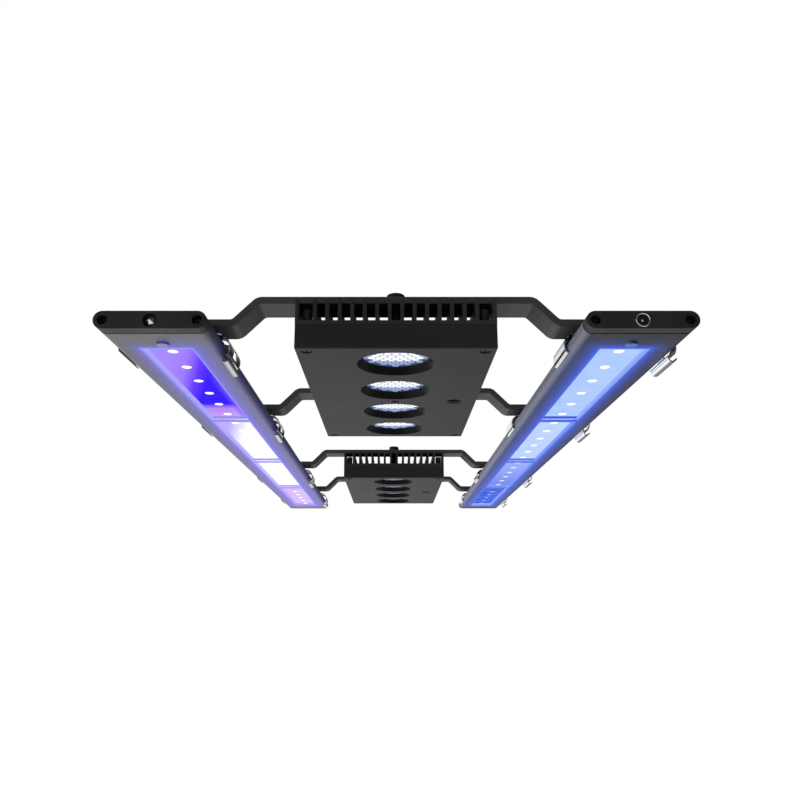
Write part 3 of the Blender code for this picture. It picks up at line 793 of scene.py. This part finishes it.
def make_housing(head, materials):
    """Tray with rolled lens openings, a button hole and a screw in each corner pocket."""
    node = f"{head}_housing"
    low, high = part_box(node)
    middle = (low.y + high.y) / 2
    x, y, height = (high.x - low.x) / 2, (high.y - low.y) / 2, high.z - low.z
    body = block((-x, -y, 0), (x, y, height + 4 * MM), 0.9 * MM, 3)
    wall = 2.2 * MM
    tools = [block((-x - MM, -y - MM, height), (x + MM, y + MM, height + 6 * MM)),
             block((-x + wall, -y + wall, HOUSING_FLOOR), (x - wall, y - wall, height + MM))]
    mouth = [(LENS_MOUTH + MM, -0.7 * MM), (LENS_MOUTH, 0), (LENS_MOUTH - 0.6 * MM, 0.5 * MM),
             (LENS_THROAT + 1.2 * MM, 4.5 * MM), (LENS_THROAT, 5.2 * MM), (LENS_THROAT, HOUSING_FLOOR + MM)]
    for lens_y in lens_middles(head):
        tools.append(turned(mouth, (0, lens_y - middle, 0), 96))
    button_low, button_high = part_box(f"{head}_button")
    button_x = (button_low.x + button_high.x) / 2 - MIDDLE_X
    hole = [(8.6 * MM, -MM), (7.6 * MM, 0), (5.7 * MM, 1.6 * MM), (5.7 * MM, HOUSING_FLOOR + MM)]
    tools.append(turned(hole, (button_x, 0, 0), 64))
    tools.append(rod(3.2 * MM, -MM, 2.5 * MM, (0, 0, 0), 48))
    corners = [(cx, cy) for cx in (-63 * MM, 63 * MM) for cy in (-y + 8 * MM, y - 8 * MM)]
    for corner in corners:
        tools.append(rod(4.0 * MM, -MM, 3 * MM, (*corner, 0), 48))
    body = cut(body, tools)
    # The lens mouths' walls get a near-black coat, darker than the rest of the housing.
    for face in body.faces:
        spot = face.calc_center_median()
        reach = min(math.hypot(spot.x, spot.y + middle - lens_y) for lens_y in lens_middles(head))
        if reach < LENS_MOUTH + 0.1 * MM and 0.02 * MM < spot.z < HOUSING_FLOOR - 0.1 * MM:
            face.material_index = 1
    stand_for(node, body, [materials["head"], materials["dark_mouth"]], (MIDDLE_X, middle, low.z), EDGE_SOFTNESS)
    for index, (corner_x, corner_y) in enumerate(corners, start=1):
        screw = socket_screw(3.2 * MM, 2.0 * MM)
        bmesh.ops.rotate(screw, matrix=Matrix.Rotation(math.pi, 3, "X"), verts=screw.verts)
        spot = (MIDDLE_X + corner_x, middle + corner_y, low.z + 2.8 * MM)
        add_detail(f"{head}_corner_screw_{index}", screw, [materials["screw"]], node, spot)


def make_heat_sink(head, materials):
    """Extruded heat sink with round-tipped fins, a fan pocket, corner posts and thumb-screw bosses."""
    node = f"{head}_heat_sink"
    low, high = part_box(node)
    middle = (low.y + high.y) / 2
    half, half_y, height = (high.x - low.x) / 2, (high.y - low.y) / 2, high.z - low.z
    floor, pitch, thick, wall, tip = 3.2 * MM, 8.81 * MM, 2.65 * MM, 2.3 * MM, 0.9 * MM
    centres = [(step + 0.5) * pitch for step in range(-7, 7)]
    fins = [(centre - thick / 2, centre + thick / 2) for centre in centres]
    fins = [(-half, -half + wall)] + fins + [(half - wall, half)]
    outline = []
    for start, end in reversed(fins):
        outline.append((end, floor))
        outline += arc((end - tip, height - tip), tip, 0, 90, 4)
        outline += arc((start + tip, height - tip), tip, 90, 180, 4)
        outline.append((start, floor))
    outline[0], outline[-1] = (half, 0), (-half, 0)
    body = prism(outline, -half_y, half_y)
    pocket = extent(f"{head}_fan_frame")[1].x + 1.5 * MM
    body = cut(body, [block((-pocket, -pocket, 2.3 * MM), (pocket, pocket, height + MM))])
    posts, bores = [], []
    for x in (-63.1 * MM, 63.1 * MM):
        for y in (-half_y + 9 * MM, half_y - 9 * MM):
            posts.append(rod(3.5 * MM, floor - MM, floor + 10 * MM, (x, y, 0), 40))
    for number in BAR_NUMBERS:
        bar_y = extent(f"crossbar_{number}")[0].y - middle
        if abs(bar_y) < half_y:
            posts.append(rod(4.2 * MM, floor - MM, height - MM, (0, bar_y, 0), 48))
            bores.append(rod(2.9 * MM, 2.7 * MM, height + MM, (0, bar_y, 0), 40))
    body = cut(unite(body, posts), bores)
    stand_for(node, body, [materials["sink"]], (MIDDLE_X, middle, low.z), 0.15 * MM)


def make_lenses(head, materials):
    """Moulded optics: a shallow dome covered in a honeycomb of small lenses."""
    for number in BAR_NUMBERS:
        node = f"{head}_lens_{number}"
        low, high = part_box(node)
        middle = (low.y + high.y) / 2
        radius = (high.x - low.x) / 2
        dome = radius - 2.3 * MM
        seat = high.z - low.z - 2.5 * MM
        profile = [(radius, seat + 2.5 * MM), (radius, seat), (dome, seat)]
        dome_rise = seat - 0.5 * MM
        steps = 10
        for step in range(1, steps + 1):
            share = step / (steps + 0.6)
            profile.append((dome * (1 - share), seat - dome_rise * (1 - (1 - share) ** 2)))
        body = paint(turned(profile, steps=72), 1)
        rows = int(radius / PEBBLE_PITCH) + 1
        for row in range(-rows, rows + 1):
            for column in range(-rows, rows + 1):
                x = (column + 0.5 * (row % 2)) * PEBBLE_PITCH
                y = row * PEBBLE_PITCH * math.sqrt(0.75)
                reach = math.hypot(x, y)
                if reach > dome - PEBBLE_PITCH * 0.35:
                    continue
                share = 1 - reach / dome
                surface = seat - dome_rise * (1 - (1 - share) ** 2)
                join(body, pebble((x, y, surface + 0.15 * MM)))
        look = "far_lens" if head == "far" else "lens"
        stand_for(node, body, [materials[look], materials[look + "_valley"]], (MIDDLE_X, middle, low.z))


def pebble(place):
    """One small lens of the honeycomb, bulging down."""
    radius, rise = PEBBLE_PITCH * 0.53, 0.75 * MM
    rings = [(radius * math.cos(a), -rise * math.sin(a)) for a in [math.radians(d) for d in (0, 30, 55, 78)]]
    body = turned(rings, place, 12)
    for face in body.faces:
        if face.calc_center_median().z > place[2] - rise * 0.6:
            face.material_index = 1
    return body


def make_button(head, materials):
    """Control button: a dished cap inside the round hole, on its wider flange."""
    node = f"{head}_button"
    middle, half = extent(node)
    height = 2 * half.z
    flange = height - 1.0 * MM
    rings = [(1.5 * MM, 1.55 * MM), (3.6 * MM, 1.3 * MM), (4.5 * MM, 1.0 * MM), (5.1 * MM, 1.12 * MM),
             (5.4 * MM, 1.5 * MM), (5.4 * MM, flange), (7.2 * MM, flange), (7.2 * MM, height)]
    stand_for(node, turned(rings, steps=64), [materials["button"]], (middle.x, middle.y, middle.z - half.z))


def make_fan(head, materials):
    """Cooling fan: a frame with rounded corners, screw holes and struts, and a swept rotor."""
    node = f"{head}_fan_frame"
    low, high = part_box(node)
    middle = (low.y + high.y) / 2
    half, height = (high.x - low.x) / 2, high.z - low.z
    corner = 4 * MM
    outline = []
    for centre, start in (((1, 1), 0), ((-1, 1), 90), ((-1, -1), 180), ((1, -1), 270)):
        spot = (centre[0] * (half - corner), centre[1] * (half - corner))
        outline += arc(spot, corner, start, start + 90, 6)
    body = loft([[(x, y, z) for x, y in outline] for z in (0, height)])
    bore = half - 1.5 * MM
    tools = [turned([(bore + 0.8 * MM, -MM), (bore, 1.5 * MM), (bore, height - 1.5 * MM),
                     (bore + 0.8 * MM, height + MM)], steps=96)]
    for x in (-FAN_SCREW, FAN_SCREW):
        for y in (-FAN_SCREW, FAN_SCREW):
            tools.append(rod(2.1 * MM, -MM, height + MM, (x, y, 0), 24))
    body = cut(body, tools)
    struts = [rod(FAN_HUB, 0, 1.5 * MM, steps=48)]
    for turn in range(3):
        arm = block((0, -1.5 * MM, 0), (half - MM, 1.5 * MM, 1.5 * MM))
        bmesh.ops.rotate(arm, matrix=Matrix.Rotation(math.radians(120 * turn + 30), 3, "Z"), verts=arm.verts)
        struts.append(arm)
    stand_for(node, unite(body, struts), [materials["fan"]], (MIDDLE_X, middle, low.z), 0.25 * MM)

    node = f"{head}_fan_rotor"
    low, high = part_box(node)
    height = high.z - low.z
    hub = turned([(FAN_HUB, 0), (FAN_HUB, height - 1.2 * MM), (FAN_HUB - 0.8 * MM, height - 0.3 * MM),
                  (FAN_HUB - 2.5 * MM, height), (1 * MM, height)], steps=64)
    for blade in range(FAN_BLADES):
        join(hub, fan_blade(math.radians(360 / FAN_BLADES * blade), height / 2, bore - 1.2 * MM))
    stand_for(node, hub, [materials["rotor"]], (MIDDLE_X, middle, low.z))


def fan_blade(heading, height, tip):
    """Curved, twisted blade from the hub to the tip."""
    root = FAN_HUB - 0.5 * MM
    outlines = []
    for step in range(7):
        share = step / 6
        radius = root + (tip - root) * share
        twist = math.radians(42 - 14 * share)
        chord = (9.5 + 2.5 * share) * MM
        sweep = 0.22 * share
        upper, lower = [], []
        for point in range(7):
            along = (point / 6 - 0.5) * chord
            camber = 0.9 * MM * (1 - (2 * point / 6 - 1) ** 2)
            half_thick = 0.55 * MM * math.sqrt(max(1 - (2 * point / 6 - 1) ** 2, 0.05))
            for side, points in ((1, upper), (-1, lower)):
                rise = camber + side * half_thick
                flat = along * math.cos(twist) - rise * math.sin(twist)
                z = height + along * math.sin(twist) + rise * math.cos(twist)
                angle = heading + sweep + flat / radius
                points.append((radius * math.cos(angle), radius * math.sin(angle), z))
        outlines.append(upper + lower[::-1])
    return loft(outlines)


def make_head(head, materials):
    make_housing(head, materials)
    make_heat_sink(head, materials)
    make_lenses(head, materials)
    make_button(head, materials)
    make_fan(head, materials)
    finish_node(f"{head}_led_board", materials["white_board"])
    finish_node(f"{head}_driver_board", materials["green_board"])


# Crossbars, thumb screws and clips ----------------------------------------------------------

def bar_path(end, height):
    """Middle line of a crossbar: raised over the head, dropping at 45 degrees to each end."""
    radius = BAR_BEND + BAR_THICKNESS / 2
    high = height - BAR_THICKNESS / 2
    low = high - BAR_DROP
    tangent = radius * math.tan(math.radians(22.5))
    shoulder = BAR_SHOULDER - BAR_THICKNESS / 2 * math.tan(math.radians(22.5))
    foot = shoulder + BAR_DROP
    left = [(-end, low)]
    left += arc((-foot - tangent, low + radius), radius, 270, 315, 8)
    left += arc((-shoulder + tangent, high - radius), radius, 135, 90, 8)
    return left + [(-x, z) for x, z in reversed(left)]


def make_bar(number, materials):
    """Flat bar bent like a gull's wing, with a pad under each end and a hole for the thumb screw."""
    node = f"crossbar_{number}"
    low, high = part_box(node)
    middle, half = extent(node)
    body = prism(thicken(bar_path(half.x, high.z), BAR_THICKNESS), -half.y, half.y)
    rims = [edge for edge in body.edges if abs(edge.verts[0].co.y - edge.verts[1].co.y) < 1e-6]
    bmesh.ops.bevel(body, geom=rims, offset=0.8 * MM, segments=3, profile=0.5, affect="EDGES")
    strip_x = extent("right_near_end_cap")[0].x - MIDDLE_X
    underside = high.z - BAR_THICKNESS - BAR_DROP
    pads = []
    for sign in (-1, 1):
        x = sorted((sign * (strip_x - 17 * MM), sign * (strip_x + 17 * MM)))
        pads.append(block((x[0], -10 * MM, low.z), (x[1], 10 * MM, underside + MM)))
    body = unite(body, pads)
    hole = rod(2.9 * MM, underside, high.z + MM, steps=40)
    stand_for(node, cut(body, [hole]), [materials["bar"]], (MIDDLE_X, middle.y, 0), 0.2 * MM)


def make_knob(number, materials):
    """Thumb screw: a fluted, flat-topped head on a threaded shank."""
    node = f"thumb_screw_{number}"
    low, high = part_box(node)
    middle, half = extent(node)
    head_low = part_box(f"crossbar_{number}")[1].z + 0.3 * MM
    radius, steps = half.x, 192
    levels = [(radius - 0.4 * MM, head_low, 0.2), (radius, head_low + 0.4 * MM, 1.0),
              (radius, high.z - 1.1 * MM, 1.0), (radius - 0.3 * MM, high.z - 0.45 * MM, 0.5),
              (radius - 1.0 * MM, high.z - 0.05 * MM, 0.0), (radius - 2.0 * MM, high.z, 0.0),
              (1.6 * MM, high.z, 0.0), (1.3 * MM, high.z - 0.4 * MM, 0.0)]
    outlines = []
    for reach, z, depth in levels:
        ring = []
        for step in range(steps):
            angle = 2 * math.pi * step / steps
            groove = 0.2 * MM * depth * (1 - math.cos(angle * KNOB_FLUTES))
            ring.append(((reach - groove) * math.cos(angle), (reach - groove) * math.sin(angle), z))
        outlines.append(ring)
    body = loft(outlines)
    rings = []
    for turn in range(int((head_low - low.z) / THREAD_PITCH)):
        z = low.z + turn * THREAD_PITCH
        rings += [(2.15 * MM, z), (2.5 * MM, z + 0.3 * MM), (2.5 * MM, z + 0.45 * MM)]
    rings.append((2.15 * MM, head_low))
    join(body, turned(rings, steps=32))
    stand_for(node, body, [materials["knob"]], (MIDDLE_X, middle.y, 0))


def clip_path(width, thickness):
    """Middle line of a clip: a hook on the left, a saddle over the strip, a pull tab on the right."""
    edge, middle = width / 2 - thickness / 2, thickness / 2
    low = thickness + 0.85 * MM
    high = 15.8 * MM
    saddle = [(18.4 * MM, low), (20.4 * MM, low + 0.25 * MM), (23 * MM, high - 0.25 * MM)]
    hook = saddle + arc((edge, high - 7.9 * MM), 7.9 * MM, 95, 0, 18)
    hook += arc((edge, middle), 7.85 * MM, -5, -22, 5) + arc((edge, middle), 7.45 * MM, -27, -28, 1)
    hook += arc((edge, middle), 7.1 * MM, -33, -38, 2)
    tab = saddle + arc((edge, middle), high - middle, 95, -30, 24)
    tab += [(35.6 * MM, 0.1 * MM), (34.3 * MM, -0.25 * MM), (33.75 * MM, -0.7 * MM), (33.7 * MM, -1.3 * MM)]
    tab += arc((37.0 * MM, -1.72 * MM), 2.8 * MM, 185, 350, 18)
    return [(-x, z) for x, z in reversed(hook)] + tab


def make_clip(number, side, materials):
    """Spring clip: one bent sheet, with a window in the arm that ends in the pull tab."""
    node = f"{side}_clip_{number}"
    middle, half = extent(node)
    strip_middle, strip_half = extent(f"{side}_near_end_cap")
    path = clip_path(2 * strip_half.x, 2 * strip_half.z)
    body = prism(thicken(path, CLIP_SHEET), -half.y, half.y)
    window = block((31 * MM, -CLIP_WINDOW / 2, 2.2 * MM), (47 * MM, CLIP_WINDOW / 2, 20 * MM))
    place = (strip_middle.x, middle.y, strip_middle.z - strip_half.z)
    stand_for(node, cut(body, [window]), [materials[side + "_clip"]], place, 0.15 * MM)


# Camera, light and floor --------------------------------------------------------------------

def make_camera():
    """Below and in front of the near end, looking up along the light."""
    data = bpy.data.cameras.new("camera")
    data.sensor_width = 36
    data.lens = 35.496
    data.shift_x = 0.0101
    camera = bpy.data.objects.new("camera", data)
    camera.location = (MIDDLE_X - 0.00285, -0.967, -0.1627)
    camera.rotation_euler = (math.radians(90 + 14.37), 0, 0)
    bpy.context.scene.collection.objects.link(camera)
    bpy.context.scene.camera = camera


def make_world():
    """White studio: plain white to the eye, lit mostly from below and a little from above."""
    world = bpy.data.worlds.new("studio")
    bpy.context.scene.world = world
    world.use_nodes = True
    nodes = Nodes(world.node_tree)
    nodes.tree.nodes.clear()

    def weighed(value, power, strength):
        return nodes.times(nodes.math("POWER", nodes.math("MAXIMUM", value), power), strength)

    def background(strength):
        return nodes.make("Background", {"Color": (1, 1, 1, 1), "Strength": strength}).outputs[0]

    x, _, z = nodes.make("SeparateXYZ", {0: nodes.make("TexCoord").outputs["Generated"]}).outputs
    below = weighed(nodes.times(z, -1.0), 3.0, 2.4)
    above = weighed(z, 2.0, 1.6)
    left = weighed(nodes.times(x, -1.0), 2.0, 0.8)
    total = nodes.math("ADD", nodes.math("ADD", below, above), nodes.math("ADD", left, 0.05))
    dark = nodes.times(nodes.spread(x, 0.0, 0.18), nodes.spread(z, -0.5, -0.15, 0.0, 0.88))
    mirrored = nodes.times(nodes.spread(z, 0.42, 0.28, 0.2, 1.0), nodes.math("SUBTRACT", 1.0, dark))
    path = nodes.make("LightPath").outputs
    seen = background(total)
    for ray, strength in (("Is Glossy Ray", mirrored), ("Is Camera Ray", 1.0)):
        seen = nodes.make("MixShader", {0: path[ray], 1: seen, 2: background(strength)}).outputs[0]
    nodes.make("OutputWorld", {"Surface": seen})


def make_lights():
    """Soft panel below and to the left, aimed at the underside."""
    data = bpy.data.lights.new("soft_panel", "AREA")
    data.size = 1.0
    data.energy = 4.0
    panel = bpy.data.objects.new("soft_panel", data)
    panel.location = (-1.0, -0.3, -0.8)
    panel.rotation_euler = (Vector((0, 0, 0)) - panel.location).to_track_quat("-Z", "Y").to_euler()
    bpy.context.scene.collection.objects.link(panel)


def make_floor():
    """Plain pale floor well below the hanging light."""
    body = bmesh.new()
    bmesh.ops.create_circle(body, cap_ends=True, segments=64, radius=60)
    mesh = bpy.data.meshes.new("floor")
    body.to_mesh(mesh)
    body.free()
    floor = bpy.data.objects.new("floor", mesh)
    floor.location = (0, 0, cad_low.z - 1.6)
    recipe = Recipe("pale_floor", roughness=0.9)
    recipe.set("Base Color", recipe.mix(recipe.noise(0.4, 3), colour("f4f4f4"), colour("fafafa")))
    recipe.set("Emission Color", (1, 1, 1, 1))
    recipe.set("Emission Strength", 0.9)
    mesh.materials.append(recipe.material)
    bpy.context.scene.collection.objects.link(floor)
    floor.visible_diffuse = False
    floor.visible_glossy = False
    floor.visible_shadow = False


def main():
    bpy.context.scene.view_settings.view_transform = "Standard"
    make_camera()
    make_world()
    make_lights()
    make_floor()
    materials = {
        "cap": moulded_plastic("cap_moulding", "202122", 0.5),
        "rubber": moulded_plastic("gasket_rubber_skin", "161616", 0.75, 0.8 * MM),
        "cover": clear_cover(),
        "white_board": circuit_board("white_board_mask", "d8d8da", "b8b8bc"),
        "green_board": circuit_board("green_board_mask", "1c5a34", "2f7a4a"),
        "head": powder_coat("head_powder_coat", "242424", "323232", 0.5, 0.07),
        "sink": powder_coat("sink_powder_coat", "242425", "3c3c3e", 0.5),
        "bar": powder_coat("bar_powder_coat", "3a3a3b", "505052", 0.48),
        "lens": lens_crown("lens_crowns", "ffffff", "7c90bc", 1.0),
        "lens_valley": lens_crown("lens_valleys", "8fa6d4", "2c4070", 0.75),
        "far_lens": lens_crown("far_lens_crowns", "6470b0", "30386c", 0.6),
        "far_lens_valley": lens_crown("far_lens_valleys", "283060", "141838", 0.5),
        "dark_mouth": powder_coat("lens_mouth_coat", "040404", "0a0a0a", 0.3, 0.05),
        "button": moulded_plastic("button_moulding", "151516", 0.35),
        "fan": moulded_plastic("fan_moulding", "1a1a1b", 0.5),
        "rotor": moulded_plastic("rotor_moulding", "202022", 0.42),
        "knob": dark_metal("knob_steel", "1c1c1d", 0.4),
        # The screws are darker than the knobs' same black-oxide steel: partly their own colour, partly
        # painted shade of the deep pockets they sit in.
        "screw": dark_metal("screw_steel", "0e0e0f", 0.4),
        "chrome": chrome("polished_chrome"),
        "left_clip": chrome("left_clip_chrome", side="left"),
        "right_clip": chrome("right_clip_chrome", side="right"),
        "plug": chrome("plug_metal", "dcdce0", 0.14),
    }
    for side, sign in SIDES:
        make_strip(side, sign, materials)
    for head in HEADS:
        make_head(head, materials)
    for number in BAR_NUMBERS:
        make_bar(number, materials)
        make_knob(number, materials)
        for side, _ in SIDES:
            make_clip(number, side, materials)


main()

bpy.context.view_layer.update()
